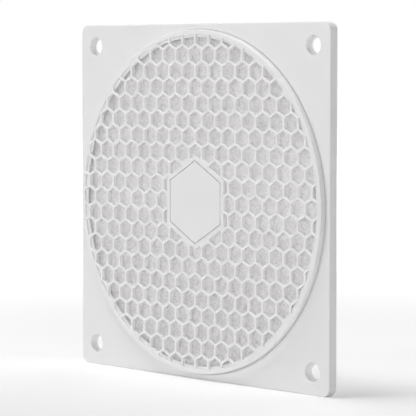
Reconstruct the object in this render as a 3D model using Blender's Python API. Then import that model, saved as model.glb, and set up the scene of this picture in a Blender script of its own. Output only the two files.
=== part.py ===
"""A square dust filter for a 120 mm fan: a moulded honeycomb grille, a woven mesh and its ring.

Metres, +Z up. The filter stands as it hangs on an upright fan: its front faces -Y, its width runs along X.
Each piece is drawn lying on its back, with height 0 at the seat against the fan. The stand turns it upright.
"""

import math

import bmesh
import bpy
import numpy as np

# Plate
SIDE = 0.120
PLATE_THICKNESS = 0.0035
CORNER_RADIUS = 0.003
EDGE_FILLET = 0.0006

# Raised ring round the grille
RING_INSET = 0.0020
RING_WIDTH = 0.0016
RING_HEIGHT = 0.0020
RING_FILLET = 0.0004
LEDGE_WIDTH = 0.0010
LEDGE_DROP = 0.0006

# Honeycomb
CELL_PITCH = 0.00635
CELL_WALL = 0.0008
GRILLE_DEPTH = 0.0014

# Six-sided panel at the centre of the grille
PANEL_RADIUS = 0.0159
GROOVE_RADIUS = 0.0140
GROOVE_WIDTH = 0.0008
GROOVE_FLOOR_WIDTH = 0.0003
GROOVE_DEPTH = 0.0004

# Corner holes
HOLE_INSET = 0.0075
HEAD_RECESS_RADIUS = 0.00325
HEAD_RECESS_DEPTH = 0.0017
HEAD_CONE_DEPTH = 0.0005
SCREW_HOLE_RADIUS = 0.00245

# Hollowed back of the corners
CORNER_SKIN = 0.0026
HOLLOW_CORNER_RADIUS = 0.001
RIM_WALL = 0.0020
RECESS_WALL = 0.0018

# Mesh and its ring
SEAT_WIDTH = 0.0016
CLEARANCE = 0.0003
MESH_THICKNESS = 0.0003
RETAINER_SETBACK = 0.0003
RETAINER_CHAMFER = 0.0005

# Faceting
RING_STEPS = 96
HOLE_STEPS = 24
CORNER_STEPS = 6
FILLET_STEPS = 3
SMOOTH_ANGLE = math.radians(30)

# Cutters run this far past the faces they break through
OVERCUT = 0.001

# Sizes worked out from the ones above
FRONT = PLATE_THICKNESS + RING_HEIGHT
HOLE_OFFSET = SIDE / 2 - HOLE_INSET
GRILLE_BACK = FRONT - GRILLE_DEPTH
RING_OUTER_RADIUS = SIDE / 2 - RING_INSET
OPENING_RADIUS = RING_OUTER_RADIUS - RING_WIDTH
LEDGE_RADIUS = OPENING_RADIUS - LEDGE_WIDTH
RECESS_RADIUS = LEDGE_RADIUS + SEAT_WIDTH
MESH_FRONT = GRILLE_BACK - CLEARANCE
MESH_BACK = MESH_FRONT - MESH_THICKNESS
MESH_RADIUS = RECESS_RADIUS - CLEARANCE
ROW_PITCH = CELL_PITCH * math.sqrt(3) / 2
CELL_RADIUS = (CELL_PITCH - CELL_WALL) / math.sqrt(3)

WHITE_PLASTIC = {"color": (0.86, 0.86, 0.855, 1.0), "roughness": 0.42, "metallic": 0.0}
WOVEN_NYLON = {"color": (0.66, 0.645, 0.65, 1.0), "roughness": 0.75, "metallic": 0.0}


def clear_scene():
    for old in list(bpy.data.objects):
        bpy.data.objects.remove(old)


def arc(centre, radius, start, end, steps):
    """Points on an arc, both ends included."""
    angles = np.linspace(start, end, steps + 1)
    return [(centre[0] + radius * math.cos(a), centre[1] + radius * math.sin(a)) for a in angles]


def circle(centre, radius, steps, start=0.0):
    return arc(centre, radius, start, start + 2 * math.pi, steps)[:-1]


def hexagon(centre, radius):
    """A hexagon with a corner straight up, by the distance from its centre to a corner."""
    return circle(centre, radius, 6, math.pi / 2)


def rounded_square(half, radius):
    inner = half - radius
    outline = []
    for quarter, (across, along) in enumerate([(1, 1), (-1, 1), (-1, -1), (1, -1)]):
        start = quarter * math.pi / 2
        outline += arc((across * inner, along * inner), radius, start, start + math.pi / 2, CORNER_STEPS)
    return outline


def add_prism(mesh, outline, low, high):
    """Adds a closed prism over an anticlockwise outline, and returns the edges round its top."""
    bottom = [mesh.verts.new((x, y, low)) for x, y in outline]
    top = [mesh.verts.new((x, y, high)) for x, y in outline]
    mesh.faces.new(bottom[::-1])
    cap = mesh.faces.new(top)
    count = len(outline)
    for i in range(count):
        j = (i + 1) % count
        mesh.faces.new((bottom[i], bottom[j], top[j], top[i]))
    return list(cap.edges)


def add_turned(mesh, profile, centre=(0.0, 0.0), steps=RING_STEPS, start=0.0, hollow=False):
    """Adds a solid turned about an upright axis. Its (radius, height) points run up the outer side.

    A hollow one's profile goes on down its inner side and closes on itself, and the other is capped.
    """
    rings = []
    for radius, height in profile:
        rings.append([mesh.verts.new((x, y, height)) for x, y in circle(centre, radius, steps, start)])
    pairs = list(zip(rings, rings[1:]))
    if hollow:
        pairs.append((rings[-1], rings[0]))
    else:
        mesh.faces.new(rings[0][::-1])
        mesh.faces.new(rings[-1])
    for below, above in pairs:
        for i in range(steps):
            j = (i + 1) % steps
            mesh.faces.new((below[i], below[j], above[j], above[i]))


def place(name, mesh, stand):
    """Makes an object of a bmesh and stands it up with the rest."""
    data = bpy.data.meshes.new(name)
    mesh.to_mesh(data)
    mesh.free()
    piece = bpy.data.objects.new(name, data)
    bpy.context.scene.collection.objects.link(piece)
    piece.parent = stand
    return piece


def place_tool(name, mesh, stand):
    """Makes an object that only adds to or cuts another."""
    tool = place(name, mesh, stand)
    tool.hide_render = True
    tool.display_type = "WIRE"
    return tool


def combine(piece, tool, operation):
    step = piece.modifiers.new(tool.name, "BOOLEAN")
    step.operation = operation
    step.solver = "EXACT"
    step.object = tool


def settle(piece, tools):
    """Carries out a piece's unions and cuts, and takes their tools away."""
    bpy.context.view_layer.update()
    graph = bpy.context.evaluated_depsgraph_get()
    shaped = bpy.data.meshes.new_from_object(piece.evaluated_get(graph))
    piece.modifiers.clear()
    piece.data = shaped
    for tool in tools:
        bpy.data.objects.remove(tool)


def finish(piece, name, look):
    """Smooths the shading of a piece's curves and gives it a material of its own."""
    piece.data.shade_smooth()
    piece.data.set_sharp_from_angle(angle=SMOOTH_ANGLE)
    material = bpy.data.materials.new(name)
    material.use_nodes = True
    shader = material.node_tree.nodes["Principled BSDF"]
    shader.inputs["Base Color"].default_value = look["color"]
    shader.inputs["Roughness"].default_value = look["roughness"]
    shader.inputs["Metallic"].default_value = look["metallic"]
    piece.data.materials.clear()
    piece.data.materials.append(material)


def plate(stand):
    """The square plate, with its front edge rounded."""
    mesh = bmesh.new()
    front_edges = add_prism(mesh, rounded_square(SIDE / 2, CORNER_RADIUS), 0, PLATE_THICKNESS)
    bmesh.ops.bevel(
        mesh,
        geom=front_edges,
        offset=EDGE_FILLET,
        offset_type="OFFSET",
        segments=FILLET_STEPS,
        profile=0.5,
        affect="EDGES",
        clamp_overlap=True,
    )
    return place("grille_frame", mesh, stand)


def raised_disc(stand):
    """The disc that the ring, the honeycomb and the panel are cut from, with its front edge rounded."""
    fillet = arc(
        (RING_OUTER_RADIUS - RING_FILLET, FRONT - RING_FILLET), RING_FILLET, 0, math.pi / 2, FILLET_STEPS
    )
    mesh = bmesh.new()
    add_turned(mesh, [(RING_OUTER_RADIUS, PLATE_THICKNESS / 2)] + fillet)
    return place_tool("raised_disc", mesh, stand)


def mesh_recess(stand):
    """The round recess in the back that takes the mesh and its ring."""
    mesh = bmesh.new()
    add_turned(mesh, [(RECESS_RADIUS, -OVERCUT), (RECESS_RADIUS, GRILLE_BACK)])
    return place_tool("mesh_recess", mesh, stand)


def corner_hollows(stand):
    """The shallow hollows in the back of the corners, between the plate's rim and the wall of the recess."""
    mesh = bmesh.new()
    inside_rim = rounded_square(SIDE / 2 - RIM_WALL, HOLLOW_CORNER_RADIUS)
    add_prism(mesh, inside_rim, -OVERCUT, PLATE_THICKNESS - CORNER_SKIN)
    hollows = place_tool("corner_hollows", mesh, stand)
    core = bmesh.new()
    outside = RECESS_RADIUS + RECESS_WALL
    add_turned(core, [(outside, -2 * OVERCUT), (outside, PLATE_THICKNESS)])
    recess_wall = place_tool("recess_wall", core, stand)
    combine(hollows, recess_wall, "DIFFERENCE")
    settle(hollows, [recess_wall])
    return hollows


def corner_holes(stand):
    """The four screw holes, each a round recess for the head, a short cone and the hole itself."""
    recess_floor = PLATE_THICKNESS - HEAD_RECESS_DEPTH
    profile = [
        (SCREW_HOLE_RADIUS, -OVERCUT),
        (SCREW_HOLE_RADIUS, recess_floor - HEAD_CONE_DEPTH),
        (HEAD_RECESS_RADIUS, recess_floor),
        (HEAD_RECESS_RADIUS, PLATE_THICKNESS + OVERCUT),
    ]
    mesh = bmesh.new()
    for across in (-1, 1):
        for along in (-1, 1):
            centre = (across * HOLE_OFFSET, along * HOLE_OFFSET)
            add_turned(mesh, profile, centre, HOLE_STEPS)
    return place_tool("corner_holes", mesh, stand)


def cell_centres():
    """Where the honeycomb's cells lie. A wall between two of them stands at the middle of the centre row."""
    rows = math.ceil(OPENING_RADIUS / ROW_PITCH)
    columns = math.ceil(OPENING_RADIUS / CELL_PITCH)
    for row in range(-rows, rows + 1):
        shift = 0.5 if row % 2 == 0 else 0.0
        for column in range(-columns - 1, columns + 1):
            yield (column + shift) * CELL_PITCH, row * ROW_PITCH


def flat_distance(x, y):
    """The distance from the centre to the sides of the hexagon, corner up, that passes through a point."""
    return max(abs(x), abs(x) / 2 + abs(y) * math.sqrt(3) / 2)


def open_reach(x, y):
    """How far a cell reaches in past the ring or out past the centre panel, whichever is less."""
    corners = hexagon((x, y), CELL_RADIUS)
    past_ring = OPENING_RADIUS - min(math.hypot(*corner) for corner in corners)
    past_panel = max(flat_distance(*corner) for corner in corners) - flat_distance(0, PANEL_RADIUS)
    return min(past_ring, past_panel)


def honeycomb(stand):
    """The cells, cut off at the ring and at the centre panel, apart from slivers no wider than a wall.

    They break through inside the ledge, and over the ledge they are only as deep as it lies below the front.
    """
    cells = bmesh.new()
    for x, y in cell_centres():
        if open_reach(x, y) > CELL_WALL:
            add_prism(cells, hexagon((x, y), CELL_RADIUS), GRILLE_BACK - OVERCUT, FRONT + OVERCUT)
    cutter = place_tool("honeycomb", cells, stand)
    bounds = bmesh.new()
    ledge = FRONT - LEDGE_DROP
    profile = [
        (LEDGE_RADIUS, GRILLE_BACK - 2 * OVERCUT),
        (LEDGE_RADIUS, ledge),
        (OPENING_RADIUS, ledge),
        (OPENING_RADIUS, FRONT + 2 * OVERCUT),
    ]
    add_turned(bounds, profile)
    grille_bounds = place_tool("grille_bounds", bounds, stand)
    solid = bmesh.new()
    add_prism(solid, hexagon((0, 0), PANEL_RADIUS), GRILLE_BACK - 2 * OVERCUT, FRONT + 2 * OVERCUT)
    panel = place_tool("panel", solid, stand)
    combine(cutter, grille_bounds, "INTERSECT")
    combine(cutter, panel, "DIFFERENCE")
    settle(cutter, [grille_bounds, panel])
    return cutter


def panel_groove(stand):
    """The shallow groove with sloping sides that follows the centre panel's outline."""
    to_corner = 2 / math.sqrt(3)
    floor = GROOVE_FLOOR_WIDTH / 2 * to_corner
    mouth = GROOVE_WIDTH / 2 * to_corner
    past_mouth = mouth + (mouth - floor) * OVERCUT / GROOVE_DEPTH
    profile = [
        (GROOVE_RADIUS + floor, FRONT - GROOVE_DEPTH),
        (GROOVE_RADIUS + past_mouth, FRONT + OVERCUT),
        (GROOVE_RADIUS - past_mouth, FRONT + OVERCUT),
        (GROOVE_RADIUS - floor, FRONT - GROOVE_DEPTH),
    ]
    mesh = bmesh.new()
    add_turned(mesh, profile, steps=6, start=math.pi / 2, hollow=True)
    return place_tool("panel_groove", mesh, stand)


def grille_frame(stand):
    """The white moulding: plate, ring, honeycomb, centre panel and screw holes in one piece."""
    frame = plate(stand)
    disc = raised_disc(stand)
    combine(frame, disc, "UNION")
    tools = [disc]
    for make in (mesh_recess, corner_hollows, corner_holes, honeycomb, panel_groove):
        cutter = make(stand)
        combine(frame, cutter, "DIFFERENCE")
        tools.append(cutter)
    settle(frame, tools)
    finish(frame, "grille_frame_plastic", WHITE_PLASTIC)


def filter_mesh(stand):
    """The disc of fine woven mesh that lies against the back of the honeycomb."""
    mesh = bmesh.new()
    add_turned(mesh, [(MESH_RADIUS, MESH_BACK), (MESH_RADIUS, MESH_FRONT)])
    disc = place("filter_mesh", mesh, stand)
    finish(disc, "filter_mesh_nylon", WOVEN_NYLON)


def retaining_ring(stand):
    """The ring that holds the mesh in its recess, with its open back edge eased."""
    back = RETAINER_SETBACK
    front = MESH_BACK - CLEARANCE
    outer = RECESS_RADIUS - CLEARANCE
    profile = [
        (outer, back),
        (outer, front),
        (LEDGE_RADIUS, front),
        (LEDGE_RADIUS, back + RETAINER_CHAMFER),
        (LEDGE_RADIUS + RETAINER_CHAMFER, back),
    ]
    mesh = bmesh.new()
    add_turned(mesh, profile, hollow=True)
    ring = place("retaining_ring", mesh, stand)
    finish(ring, "retaining_ring_plastic", WHITE_PLASTIC)


def upright_stand():
    """The empty that turns every piece upright, with the middle of the filter's depth at the origin."""
    stand = bpy.data.objects.new("stand", None)
    bpy.context.scene.collection.objects.link(stand)
    stand.rotation_euler = (math.pi / 2, 0, 0)
    stand.location = (0, FRONT / 2, 0)
    return stand


def main():
    clear_scene()
    stand = upright_stand()
    grille_frame(stand)
    filter_mesh(stand)
    retaining_ring(stand)


main()
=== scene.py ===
"""The looks of the fan dust filter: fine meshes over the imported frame, materials, soft light and a camera.

Metres, +Z up. The filter's front faces -Y. Its pieces are drawn lying on their backs, with height 0 at the
seat against the fan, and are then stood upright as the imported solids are.
"""

import math

import bmesh
import bpy
from mathutils import Matrix, Vector


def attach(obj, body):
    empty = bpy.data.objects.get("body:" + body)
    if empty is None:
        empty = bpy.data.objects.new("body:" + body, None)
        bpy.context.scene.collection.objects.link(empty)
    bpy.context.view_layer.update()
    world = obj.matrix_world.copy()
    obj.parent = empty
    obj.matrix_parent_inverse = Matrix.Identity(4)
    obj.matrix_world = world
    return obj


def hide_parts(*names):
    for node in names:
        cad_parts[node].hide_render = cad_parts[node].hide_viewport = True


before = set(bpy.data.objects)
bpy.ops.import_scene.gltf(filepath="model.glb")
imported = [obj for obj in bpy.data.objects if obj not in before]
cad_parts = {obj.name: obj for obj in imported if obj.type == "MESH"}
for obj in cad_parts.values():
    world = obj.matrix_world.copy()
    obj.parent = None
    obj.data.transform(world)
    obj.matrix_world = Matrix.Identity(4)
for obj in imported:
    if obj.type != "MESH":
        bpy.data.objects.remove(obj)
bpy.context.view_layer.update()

# Plate
SIDE = 0.120
PLATE_THICKNESS = 0.0035
CORNER_RADIUS = 0.003
EDGE_FILLET = 0.0003
BACK_FILLET = 0.0002

# Raised ring, the groove at its foot and the ledge inside it
RING_OUTER_RADIUS = 0.0580
RING_WIDTH = 0.0016
RING_HEIGHT = 0.0020
RING_FILLET = 0.00035
RING_INNER_FILLET = 0.0002
FOOT_GROOVE_WIDTH = 0.0003
FOOT_GROOVE_DEPTH = 0.0004
FOOT_GROOVE_STANDOFF = 0.00002
LEDGE_WIDTH = 0.0010
LEDGE_DROP = 0.0006
LEDGE_FILLET = 0.00015

# Honeycomb
CELL_PITCH = 0.00635
CELL_WALL = 0.0008
CELL_CORNER_RADIUS = 0.00025
CELL_FILLET = 0.0001
GRILLE_DEPTH = 0.0014

# Six-sided centre panel and its groove
PANEL_RADIUS = 0.0159
PANEL_FILLET = 0.0002
GROOVE_RADIUS = 0.0140
GROOVE_WIDTH = 0.0006
GROOVE_FLOOR_WIDTH = 0.0005
GROOVE_DEPTH = 0.0007
GROOVE_EASE = 0.00005

# Corner holes
HOLE_OFFSET = 0.0525
HEAD_RECESS_RADIUS = 0.00325
HEAD_RECESS_DEPTH = 0.0017
HEAD_CONE_DEPTH = 0.0005
SCREW_HOLE_RADIUS = 0.00245
HOLE_FILLET = 0.0002

# Hollowed back of the corners
CORNER_SKIN = 0.0026
HOLLOW_CORNER_RADIUS = 0.001
RIM_WALL = 0.0020
RECESS_WALL = 0.0018

# Mesh and its ring. Each layer of threads lies off the middle by a share of a thread's thickness.
SEAT_WIDTH = 0.0016
CLEARANCE = 0.0003
MESH_THICKNESS = 0.0003
THREAD_PITCH = 0.00036
THREAD_WIDTH = 0.00027
THREAD_THICKNESS = 0.00014
THREAD_LIFT = THREAD_THICKNESS * 0.42
RETAINER_SETBACK = 0.0003
RETAINER_CHAMFER = 0.0005

# Sizes worked out from the ones above
FRONT = PLATE_THICKNESS + RING_HEIGHT
GRILLE_BACK = FRONT - GRILLE_DEPTH
OPENING_RADIUS = RING_OUTER_RADIUS - RING_WIDTH
LEDGE_RADIUS = OPENING_RADIUS - LEDGE_WIDTH
LEDGE_HEIGHT = FRONT - LEDGE_DROP
RECESS_RADIUS = LEDGE_RADIUS + SEAT_WIDTH
MESH_FRONT = GRILLE_BACK - CLEARANCE
MESH_BACK = MESH_FRONT - MESH_THICKNESS
MESH_RADIUS = RECESS_RADIUS - CLEARANCE
ROW_PITCH = CELL_PITCH * math.sqrt(3) / 2
CELL_HALF = (CELL_PITCH - CELL_WALL) / 2

# Faceting
RING_STEPS = 288
HOLE_STEPS = 72
CORNER_STEPS = 16
CELL_CORNER_STEPS = 2
THREAD_SIDES = 8
EDGE_FILLET_STEPS = 6
RING_FILLET_STEPS = 5
CHAMFER_STEPS = 4
FINE_FILLET_STEPS = 3
BACK_FILLET_STEPS = 2
SMOOTH_ANGLE = math.radians(33)
OVERCUT = 0.001

# White plastic. Each noise is given by its waves to a metre, its detail and its roughness.
PLASTIC_COLOUR = (0.9, 0.9, 0.9)
FLOW_SHADE = 0.985
FLOW_NOISE = (45, 3, 0.5)
GLOSS_NOISE = (160, 4, 0.5)
PLASTIC_ROUGHNESS = (0.38, 0.48)
GRAIN_NOISE = (5200, 3, 0.6)
GRAIN_STRENGTH = 0.25
GRAIN_DEPTH = 0.00002
LIGHT_DEPTH = 0.0004

# Nylon thread
NYLON_COLOUR = (0.96, 0.951, 0.954)
SPECKLE_SHADE = 0.72
SPECKLE_NOISE = (2100, 3, 0.5)
SHEEN_NOISE = (2500, 2, 0.5)
NYLON_ROUGHNESS = (0.28, 0.36)
THREAD_TRANSLUCENCY = 0.7

# The middle range of a noise, which is where most of it lies
NOISE_LOW = 0.3
NOISE_HIGH = 0.7

# Floor and background. The floor's glow grows with the distance from the filter.
WHITE = (1, 1, 1, 1)
FLOOR_COLOUR = (0.9, 0.9, 0.9, 1)
FLOOR_ROUGHNESS = 0.9
FLOOR_REACH = 6.0
GLOW_NEAR = 0.15
GLOW_FAR = 1.0
GLOW_START = 0.15
GLOW_END = 0.9
WORLD_STRENGTH = 0.03

# Lamps: name, place, side of the square and power in watts. Each points at the origin.
LAMPS = (
    ("key", (-0.85, -1.55, 0.35), 0.35, 7.1),
    ("right", (1.4, -1.0, 0.4), 1.1, 8.4),
    ("rim", (-1.8, 0.12, 0.4), 0.5, 6.0),
    ("overhead", (-0.4, -0.3, 1.5), 0.7, 15.0),
    ("behind", (-0.2, 1.6, 0.3), 2.0, 24.5),
)

# Camera. Its angles are in degrees.
CAMERA_PLACE = (0.54134, -0.52056, 0.04744)
CAMERA_DIP = 3.768
CAMERA_TURN = 45.929
CAMERA_LENS = 193.1
CAMERA_SENSOR = 36.0
CAMERA_CLIP_START = 0.05

# Turns a piece that lies on its back upright, with the middle of the filter's depth at the origin
UPRIGHT = Matrix.Translation((0, FRONT / 2, 0)) @ Matrix.Rotation(math.pi / 2, 4, "X")


# Outlines and solids


def arc(centre, radius, start, end, steps):
    """Points on an arc, both ends included."""
    turn = (end - start) / steps
    angles = [start + turn * i for i in range(steps + 1)]
    return [(centre[0] + radius * math.cos(a), centre[1] + radius * math.sin(a)) for a in angles]


def circle(centre, radius, steps):
    """Points round a circle, without the first one again."""
    return arc(centre, radius, 0, 2 * math.pi, steps)[:-1]


def rounded_polygon(sides, half, radius, steps, centre=(0, 0)):
    """A regular polygon with rounded corners, by the distance from its centre to its sides."""
    outline = []
    turn = 2 * math.pi / sides
    for side in range(sides):
        faces = side * turn
        corner = faces + turn / 2
        reach = (half - radius) / math.cos(turn / 2)
        middle = (centre[0] + reach * math.cos(corner), centre[1] + reach * math.sin(corner))
        if radius > 0:
            outline += arc(middle, radius, faces, faces + turn, steps)
        else:
            outline.append(middle)
    return outline


def sharp_polygon(sides, half, centre=(0, 0)):
    return rounded_polygon(sides, half, 0, 1, centre)


def fillet_offsets(radius, steps):
    """(how far in, how far down) along a quarter round, from the side to the face."""
    points = []
    for i in range(steps + 1):
        angle = math.pi / 2 * i / steps
        points.append((radius * (1 - math.cos(angle)), radius * (1 - math.sin(angle))))
    return points


def level(outline, height):
    """An outline's points at one height."""
    return [(x, y, height) for x, y in outline]


def add_band(mesh, below, above):
    """Adds a band of faces between two rings with the same number of points."""
    count = len(below)
    for i in range(count):
        j = (i + 1) % count
        mesh.faces.new((below[i], below[j], above[j], above[i]))


def add_solid(mesh, loops, hollow=False):
    """Adds a solid through loops with the same number of points, from the lowest to the highest.

    A hollow one goes on down its inner side and has no end faces: its last loop joins its first.
    """
    rings = [[mesh.verts.new(point) for point in loop] for loop in loops]
    pairs = list(zip(rings, rings[1:]))
    if hollow:
        pairs.append((rings[-1], rings[0]))
    else:
        mesh.faces.new(rings[0][::-1])
        mesh.faces.new(rings[-1])
    for below, above in pairs:
        add_band(mesh, below, above)


def add_turned(mesh, profile, centre=(0, 0), steps=RING_STEPS, hollow=False):
    """Adds a solid turned about an upright axis. Its (radius, height) points run up the outer side.

    A hollow one's profile goes on down its inner side and closes on itself.
    """
    add_solid(mesh, [level(circle(centre, radius, steps), height) for radius, height in profile], hollow)


def make_object(name, mesh):
    """Turns a bmesh into an object of the scene, and frees it."""
    data = bpy.data.meshes.new(name)
    mesh.to_mesh(data)
    mesh.free()
    piece = bpy.data.objects.new(name, data)
    bpy.context.scene.collection.objects.link(piece)
    return piece


def combine(piece, tool, operation):
    """Adds a Boolean step to a piece, which settle applies."""
    step = piece.modifiers.new(tool.name, "BOOLEAN")
    step.operation = operation
    step.solver = "MANIFOLD"
    step.object = tool


def settle(piece, tools=()):
    """Applies a piece's modifiers and takes away the tools that they used."""
    bpy.context.view_layer.update()
    graph = bpy.context.evaluated_depsgraph_get()
    shaped = bpy.data.meshes.new_from_object(piece.evaluated_get(graph))
    piece.modifiers.clear()
    piece.data = shaped
    for tool in tools:
        bpy.data.objects.remove(tool)


def finish_piece(piece, material, node):
    """Stands a piece up, smooths its curves, and ties it to the frame."""
    piece.data.transform(UPRIGHT)
    piece.data.shade_smooth()
    piece.data.set_sharp_from_angle(angle=SMOOTH_ANGLE)
    weighted = piece.modifiers.new("weighted", "WEIGHTED_NORMAL")
    weighted.keep_sharp = True
    settle(piece)
    piece.data.materials.clear()
    piece.data.materials.append(material)
    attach(piece, "root")
    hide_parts(node)


# The moulded frame


def plate_solid():
    """The square plate, with its front and back edges eased."""
    edge = fillet_offsets(BACK_FILLET, BACK_FILLET_STEPS)[::-1]
    for inset, down in fillet_offsets(EDGE_FILLET, EDGE_FILLET_STEPS):
        edge.append((inset, PLATE_THICKNESS - down))
    loops = []
    for inset, height in edge:
        outline = rounded_polygon(4, SIDE / 2 - inset, CORNER_RADIUS - inset, CORNER_STEPS)
        loops.append(level(outline, height))
    mesh = bmesh.new()
    add_solid(mesh, loops)
    return make_object("grille_frame_fine", mesh)


def raised_disc():
    """The disc that the ring, the honeycomb and the panel are cut from."""
    profile = [(RING_OUTER_RADIUS, PLATE_THICKNESS / 2)]
    for inset, down in fillet_offsets(RING_FILLET, RING_FILLET_STEPS):
        profile.append((RING_OUTER_RADIUS - inset, FRONT - down))
    mesh = bmesh.new()
    add_turned(mesh, profile)
    return make_object("raised_disc", mesh)


def foot_groove():
    """The fine groove in the plate round the foot of the ring."""
    inner = RING_OUTER_RADIUS + FOOT_GROOVE_STANDOFF
    outer = RING_OUTER_RADIUS + FOOT_GROOVE_WIDTH
    top = PLATE_THICKNESS + OVERCUT
    bottom = PLATE_THICKNESS - FOOT_GROOVE_DEPTH
    mesh = bmesh.new()
    add_turned(mesh, [(outer, bottom), (outer, top), (inner, top), (inner, bottom)], hollow=True)
    return make_object("foot_groove", mesh)


def mesh_recess():
    """The round recess in the back, with its edge eased."""
    profile = [(RECESS_RADIUS + BACK_FILLET, -OVERCUT)]
    for inset, up in reversed(fillet_offsets(BACK_FILLET, BACK_FILLET_STEPS)):
        profile.append((RECESS_RADIUS + inset, up))
    profile.append((RECESS_RADIUS, GRILLE_BACK))
    mesh = bmesh.new()
    add_turned(mesh, profile)
    return make_object("mesh_recess", mesh)


def corner_hollows():
    """The shallow hollows in the back of the corners, between the plate's rim and the wall of the recess."""
    outline = rounded_polygon(4, SIDE / 2 - RIM_WALL, HOLLOW_CORNER_RADIUS, CORNER_STEPS)
    mesh = bmesh.new()
    add_solid(mesh, [level(outline, -OVERCUT), level(outline, PLATE_THICKNESS - CORNER_SKIN)])
    hollows = make_object("corner_hollows", mesh)
    core = bmesh.new()
    outside = RECESS_RADIUS + RECESS_WALL
    add_turned(core, [(outside, -2 * OVERCUT), (outside, PLATE_THICKNESS)])
    recess_wall = make_object("recess_wall", core)
    combine(hollows, recess_wall, "DIFFERENCE")
    settle(hollows, [recess_wall])
    return hollows


def corner_holes():
    """The four screw holes, each a round recess for the head, a short cone and the hole itself."""
    recess_floor = PLATE_THICKNESS - HEAD_RECESS_DEPTH
    profile = [
        (SCREW_HOLE_RADIUS, -OVERCUT),
        (SCREW_HOLE_RADIUS, recess_floor - HEAD_CONE_DEPTH),
        (HEAD_RECESS_RADIUS, recess_floor),
    ]
    for inset, down in fillet_offsets(HOLE_FILLET, FINE_FILLET_STEPS):
        profile.append((HEAD_RECESS_RADIUS + inset, PLATE_THICKNESS - down))
    profile.append((HEAD_RECESS_RADIUS + HOLE_FILLET, PLATE_THICKNESS + OVERCUT))
    mesh = bmesh.new()
    for across in (-1, 1):
        for along in (-1, 1):
            add_turned(mesh, profile, (across * HOLE_OFFSET, along * HOLE_OFFSET), HOLE_STEPS)
    return make_object("corner_holes", mesh)


def cell_centres():
    """Where the honeycomb's cells lie. A wall between two of them stands at the middle of the centre row."""
    rows = math.ceil(OPENING_RADIUS / ROW_PITCH)
    columns = math.ceil(OPENING_RADIUS / CELL_PITCH)
    for row in range(-rows, rows + 1):
        shift = 0.5 if row % 2 == 0 else 0.0
        for column in range(-columns - 1, columns + 1):
            yield (column + shift) * CELL_PITCH, row * ROW_PITCH


def flat_distance(x, y):
    """The distance from the centre to the sides of the hexagon, corner up, that passes through a point."""
    return max(abs(x), abs(x) / 2 + abs(y) * math.sqrt(3) / 2)


def open_reach(x, y):
    """How far a cell reaches in past the ring or out past the centre panel, whichever is less."""
    corners = sharp_polygon(6, CELL_HALF, (x, y))
    past_ring = OPENING_RADIUS - min(math.hypot(*corner) for corner in corners)
    past_panel = max(flat_distance(*corner) for corner in corners) - flat_distance(0, PANEL_RADIUS)
    return min(past_ring, past_panel)


def cell_solids():
    """The cells, with their corners and mouths rounded."""
    profile = [(0, GRILLE_BACK - OVERCUT)]
    profile += [(out, FRONT - down) for out, down in fillet_offsets(CELL_FILLET, FINE_FILLET_STEPS)]
    profile.append((CELL_FILLET, FRONT + OVERCUT))
    mesh = bmesh.new()
    for centre in cell_centres():
        if open_reach(*centre) <= CELL_WALL:
            continue
        loops = []
        for out, height in profile:
            radius = CELL_CORNER_RADIUS + out
            outline = rounded_polygon(6, CELL_HALF + out, radius, CELL_CORNER_STEPS, centre)
            loops.append(level(outline, height))
        add_solid(mesh, loops)
    return make_object("honeycomb", mesh)


def grille_bounds():
    """The room inside the ring, with the ledge round it."""
    ledge_edge = fillet_offsets(LEDGE_FILLET, FINE_FILLET_STEPS)
    ring_edge = fillet_offsets(RING_INNER_FILLET, FINE_FILLET_STEPS)
    profile = [(LEDGE_RADIUS, GRILLE_BACK - 2 * OVERCUT)]
    profile += [(LEDGE_RADIUS + out, LEDGE_HEIGHT - down) for out, down in ledge_edge]
    profile.append((OPENING_RADIUS, LEDGE_HEIGHT))
    profile += [(OPENING_RADIUS + out, FRONT - down) for out, down in ring_edge]
    profile.append((OPENING_RADIUS + RING_INNER_FILLET, FRONT + 2 * OVERCUT))
    mesh = bmesh.new()
    add_turned(mesh, profile)
    return make_object("grille_bounds", mesh)


def centre_panel():
    """The six-sided panel, with its edge eased."""
    half = flat_distance(0, PANEL_RADIUS)
    loops = [level(sharp_polygon(6, half), GRILLE_BACK - 2 * OVERCUT)]
    for inset, down in fillet_offsets(PANEL_FILLET, FINE_FILLET_STEPS):
        loops.append(level(sharp_polygon(6, half - inset), FRONT - down))
    loops.append(level(sharp_polygon(6, half - PANEL_FILLET), FRONT + 2 * OVERCUT))
    mesh = bmesh.new()
    add_solid(mesh, loops)
    return make_object("panel", mesh)


def honeycomb():
    """The cells, cut off at the ring and at the centre panel."""
    cells = cell_solids()
    bounds = grille_bounds()
    panel = centre_panel()
    combine(cells, bounds, "INTERSECT")
    combine(cells, panel, "DIFFERENCE")
    settle(cells, [bounds, panel])
    return cells


def panel_groove():
    """The fine steep-sided groove that follows the centre panel's outline."""
    centre_line = flat_distance(0, GROOVE_RADIUS)
    floor = GROOVE_FLOOR_WIDTH / 2
    mouth = GROOVE_WIDTH / 2
    profile = [
        (centre_line + floor, FRONT - GROOVE_DEPTH),
        (centre_line + mouth - GROOVE_EASE, FRONT - GROOVE_EASE),
        (centre_line + mouth + GROOVE_EASE, FRONT),
        (centre_line + mouth + GROOVE_EASE, FRONT + OVERCUT),
        (centre_line - mouth - GROOVE_EASE, FRONT + OVERCUT),
        (centre_line - mouth - GROOVE_EASE, FRONT),
        (centre_line - mouth + GROOVE_EASE, FRONT - GROOVE_EASE),
        (centre_line - floor, FRONT - GROOVE_DEPTH),
    ]
    mesh = bmesh.new()
    add_solid(mesh, [level(sharp_polygon(6, half), height) for half, height in profile], hollow=True)
    return make_object("panel_groove", mesh)


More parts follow.
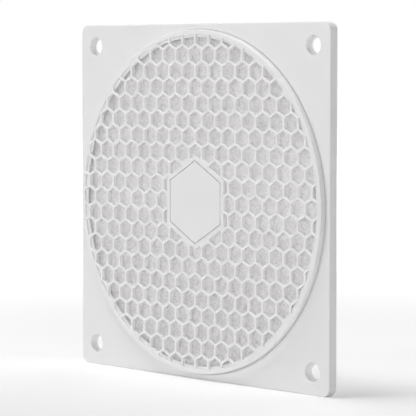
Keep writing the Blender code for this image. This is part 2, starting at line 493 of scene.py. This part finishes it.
def grille_frame(material):
    """The moulding: the disc joined to the plate, and everything else cut out of them."""
    piece = plate_solid()
    disc = raised_disc()
    combine(piece, disc, "UNION")
    tools = [disc]
    for make in (foot_groove, mesh_recess, corner_hollows, corner_holes, honeycomb, panel_groove):
        cutter = make()
        combine(piece, cutter, "DIFFERENCE")
        tools.append(cutter)
    settle(piece, tools)
    finish_piece(piece, material, "grille_frame")


# The mesh and its ring


def add_thread(mesh, start, end):
    """Adds a straight flattened thread between two points at one height."""
    along = (end - start).normalized()
    across = Vector((-along.y, along.x, 0)) * THREAD_WIDTH / 2
    up = Vector((0, 0, THREAD_THICKNESS / 2))
    rings = []
    for point in (start, end):
        ring = []
        for i in range(THREAD_SIDES):
            angle = 2 * math.pi * (i + 0.5) / THREAD_SIDES
            ring.append(mesh.verts.new(point + math.cos(angle) * across + math.sin(angle) * up))
        rings.append(ring)
    first, last = rings
    add_band(mesh, first, last)
    mesh.faces.new(first[::-1])
    mesh.faces.new(last)


def filter_mesh(material):
    """Two layers of fine flattened threads that cross at right angles, pressed a little into each other."""
    mesh = bmesh.new()
    middle = MESH_FRONT + THREAD_THICKNESS / 2
    front = middle + THREAD_LIFT
    back = middle - THREAD_LIFT
    count = int(MESH_RADIUS / THREAD_PITCH)
    for k in range(-count, count + 1):
        offset = k * THREAD_PITCH
        reach = math.sqrt(MESH_RADIUS**2 - offset**2)
        add_thread(mesh, Vector((-reach, offset, front)), Vector((reach, offset, front)))
        add_thread(mesh, Vector((offset, -reach, back)), Vector((offset, reach, back)))
    bmesh.ops.recalc_face_normals(mesh, faces=mesh.faces)
    piece = make_object("filter_mesh_fine", mesh)
    finish_piece(piece, material, "filter_mesh")


def retaining_ring(material):
    """The ring that holds the mesh, with its open edges eased."""
    back = RETAINER_SETBACK
    front = MESH_BACK - CLEARANCE
    outer = RECESS_RADIUS - CLEARANCE
    outer_edge = reversed(fillet_offsets(BACK_FILLET, BACK_FILLET_STEPS))
    inner_edge = fillet_offsets(RETAINER_CHAMFER, CHAMFER_STEPS)
    profile = [(outer - inset, back + up) for inset, up in outer_edge]
    profile += [(outer, front), (LEDGE_RADIUS, front)]
    profile += [(LEDGE_RADIUS + inset, back + up) for inset, up in inner_edge]
    mesh = bmesh.new()
    add_turned(mesh, profile, hollow=True)
    piece = make_object("retaining_ring_fine", mesh)
    finish_piece(piece, material, "retaining_ring")


# Materials


def add_node(tree, kind, settings=None, values=None):
    node = tree.nodes.new(kind)
    for name, value in (settings or {}).items():
        setattr(node, name, value)
    for name, value in (values or {}).items():
        node.inputs[name].default_value = value
    return node


def new_material(name):
    material = bpy.data.materials.new(name)
    material.use_nodes = True
    return material, material.node_tree, material.node_tree.nodes["Principled BSDF"]


def noise(tree, waves, detail, roughness):
    """A noise in the filter's own metres, by its waves to a metre."""
    place = add_node(tree, "ShaderNodeTexCoord")
    values = {"Scale": waves, "Detail": detail, "Roughness": roughness}
    wave = add_node(tree, "ShaderNodeTexNoise", values=values)
    tree.links.new(place.outputs["Object"], wave.inputs["Vector"])
    return wave.outputs["Fac"]


def spread(tree, value, low, high):
    """A noise spread over a range of numbers."""
    values = {"From Min": NOISE_LOW, "From Max": NOISE_HIGH, "To Min": low, "To Max": high}
    node = add_node(tree, "ShaderNodeMapRange", values=values)
    tree.links.new(value, node.inputs["Value"])
    return node.outputs["Result"]


def uneven_colour(tree, colour, shade, pattern):
    """A colour that a noise darkens in places, at most to a share of itself."""
    darker = tuple(c * shade for c in colour)
    values = {"A": (*darker, 1), "B": (*colour, 1)}
    mix = add_node(tree, "ShaderNodeMix", {"data_type": "RGBA"}, values)
    tree.links.new(spread(tree, noise(tree, *pattern), 0, 1), mix.inputs["Factor"])
    return mix.outputs["Result"]


def moulded_plastic(name):
    """Satin white plastic: a fine spark-eroded grain, slow changes of gloss and a faint flow pattern."""
    material, tree, shader = new_material(name)
    tint = uneven_colour(tree, PLASTIC_COLOUR, FLOW_SHADE, FLOW_NOISE)
    tree.links.new(tint, shader.inputs["Base Color"])
    gloss = spread(tree, noise(tree, *GLOSS_NOISE), *PLASTIC_ROUGHNESS)
    tree.links.new(gloss, shader.inputs["Roughness"])
    values = {"Strength": GRAIN_STRENGTH, "Distance": GRAIN_DEPTH}
    grain = add_node(tree, "ShaderNodeBump", values=values)
    tree.links.new(noise(tree, *GRAIN_NOISE), grain.inputs["Height"])
    tree.links.new(grain.outputs["Normal"], shader.inputs["Normal"])
    shader.inputs["Subsurface Weight"].default_value = 1.0
    shader.inputs["Subsurface Radius"].default_value = (1.0, 1.0, 1.0)
    shader.inputs["Subsurface Scale"].default_value = LIGHT_DEPTH
    return material


def drawn_nylon(name):
    """Drawn nylon thread: light comes through it, and its tone and gloss are slightly uneven."""
    material, tree, shader = new_material(name)
    tint = uneven_colour(tree, NYLON_COLOUR, SPECKLE_SHADE, SPECKLE_NOISE)
    tree.links.new(tint, shader.inputs["Base Color"])
    sheen = spread(tree, noise(tree, *SHEEN_NOISE), *NYLON_ROUGHNESS)
    tree.links.new(sheen, shader.inputs["Roughness"])
    through = add_node(tree, "ShaderNodeBsdfTranslucent")
    tree.links.new(tint, through.inputs["Color"])
    both = add_node(tree, "ShaderNodeMixShader", values={"Fac": THREAD_TRANSLUCENCY})
    tree.links.new(shader.outputs[0], both.inputs[1])
    tree.links.new(through.outputs[0], both.inputs[2])
    tree.links.new(both.outputs[0], tree.nodes["Material Output"].inputs["Surface"])
    return material


# Stage, light and camera


def background_rays(tree):
    """1 for rays that show the background: from the camera, off gloss or through glass."""
    path = add_node(tree, "ShaderNodeLightPath")
    first = add_node(tree, "ShaderNodeMath", {"operation": "ADD"})
    second = add_node(tree, "ShaderNodeMath", {"operation": "ADD", "use_clamp": True})
    tree.links.new(path.outputs["Is Camera Ray"], first.inputs[0])
    tree.links.new(path.outputs["Is Glossy Ray"], first.inputs[1])
    tree.links.new(first.outputs[0], second.inputs[0])
    tree.links.new(path.outputs["Is Transmission Ray"], second.inputs[1])
    return second.outputs[0]


def floor_material():
    """Pale floor. To the camera it also glows a little, so that it comes out white beside the shadow."""
    material, tree, shader = new_material("floor_pale")
    shader.inputs["Base Color"].default_value = FLOOR_COLOUR
    shader.inputs["Roughness"].default_value = FLOOR_ROUGHNESS
    shader.inputs["Specular IOR Level"].default_value = 0.0
    place = add_node(tree, "ShaderNodeTexCoord")
    distance = add_node(tree, "ShaderNodeVectorMath", {"operation": "LENGTH"})
    tree.links.new(place.outputs["Object"], distance.inputs[0])
    values = {"From Min": GLOW_START, "From Max": GLOW_END, "To Min": GLOW_NEAR, "To Max": GLOW_FAR}
    rise = add_node(tree, "ShaderNodeMapRange", {"interpolation_type": "SMOOTHSTEP"}, values)
    tree.links.new(distance.outputs["Value"], rise.inputs["Value"])
    strength = add_node(tree, "ShaderNodeMath", {"operation": "MULTIPLY"})
    tree.links.new(background_rays(tree), strength.inputs[0])
    tree.links.new(rise.outputs["Result"], strength.inputs[1])
    glow = add_node(tree, "ShaderNodeEmission", values={"Color": WHITE})
    tree.links.new(strength.outputs[0], glow.inputs["Strength"])
    both = add_node(tree, "ShaderNodeAddShader")
    tree.links.new(shader.outputs[0], both.inputs[0])
    tree.links.new(glow.outputs[0], both.inputs[1])
    tree.links.new(both.outputs[0], tree.nodes["Material Output"].inputs["Surface"])
    return material


def add_floor():
    corners = [(x * FLOOR_REACH, y * FLOOR_REACH, 0) for x, y in ((-1, -1), (1, -1), (1, 1), (-1, 1))]
    data = bpy.data.meshes.new("floor")
    data.from_pydata(corners, [], [(0, 1, 2, 3)])
    data.materials.append(floor_material())
    floor = bpy.data.objects.new("floor", data)
    floor.location = (0, 0, -SIDE / 2)
    bpy.context.scene.collection.objects.link(floor)


def add_world():
    """White to the camera, and a faint even light for everything else."""
    world = bpy.data.worlds.new("studio")
    bpy.context.scene.world = world
    world.use_nodes = True
    tree = world.node_tree
    tree.nodes.clear()
    shown = add_node(tree, "ShaderNodeBackground", values={"Color": WHITE, "Strength": 1.0})
    lit = add_node(tree, "ShaderNodeBackground", values={"Color": WHITE, "Strength": WORLD_STRENGTH})
    mix = add_node(tree, "ShaderNodeMixShader")
    out = add_node(tree, "ShaderNodeOutputWorld")
    tree.links.new(background_rays(tree), mix.inputs[0])
    tree.links.new(lit.outputs[0], mix.inputs[1])
    tree.links.new(shown.outputs[0], mix.inputs[2])
    tree.links.new(mix.outputs[0], out.inputs["Surface"])


def add_lamp(name, place, size, power):
    """A square soft lamp that points at the origin."""
    data = bpy.data.lights.new(name, "AREA")
    data.shape = "SQUARE"
    data.size = size
    data.energy = power
    lamp = bpy.data.objects.new(name, data)
    bpy.context.scene.collection.objects.link(lamp)
    lamp.location = place
    lamp.rotation_euler = (-Vector(place)).to_track_quat("-Z", "Y").to_euler()


def add_camera():
    """The view fitted to the honeycomb and the outline: from the right, a little above, with no roll."""
    data = bpy.data.cameras.new("camera")
    data.sensor_width = CAMERA_SENSOR
    data.lens = CAMERA_LENS
    data.clip_start = CAMERA_CLIP_START
    eye = bpy.data.objects.new("camera", data)
    bpy.context.scene.collection.objects.link(eye)
    eye.location = CAMERA_PLACE
    eye.rotation_euler = (math.radians(90 - CAMERA_DIP), 0, math.radians(CAMERA_TURN))
    bpy.context.scene.camera = eye


def main():
    bpy.context.scene.view_settings.view_transform = "Standard"
    add_camera()
    add_floor()
    add_world()
    for lamp in LAMPS:
        add_lamp(*lamp)
    grille_frame(moulded_plastic("moulded_white"))
    retaining_ring(moulded_plastic("ring_white"))
    filter_mesh(drawn_nylon("drawn_nylon"))


main()
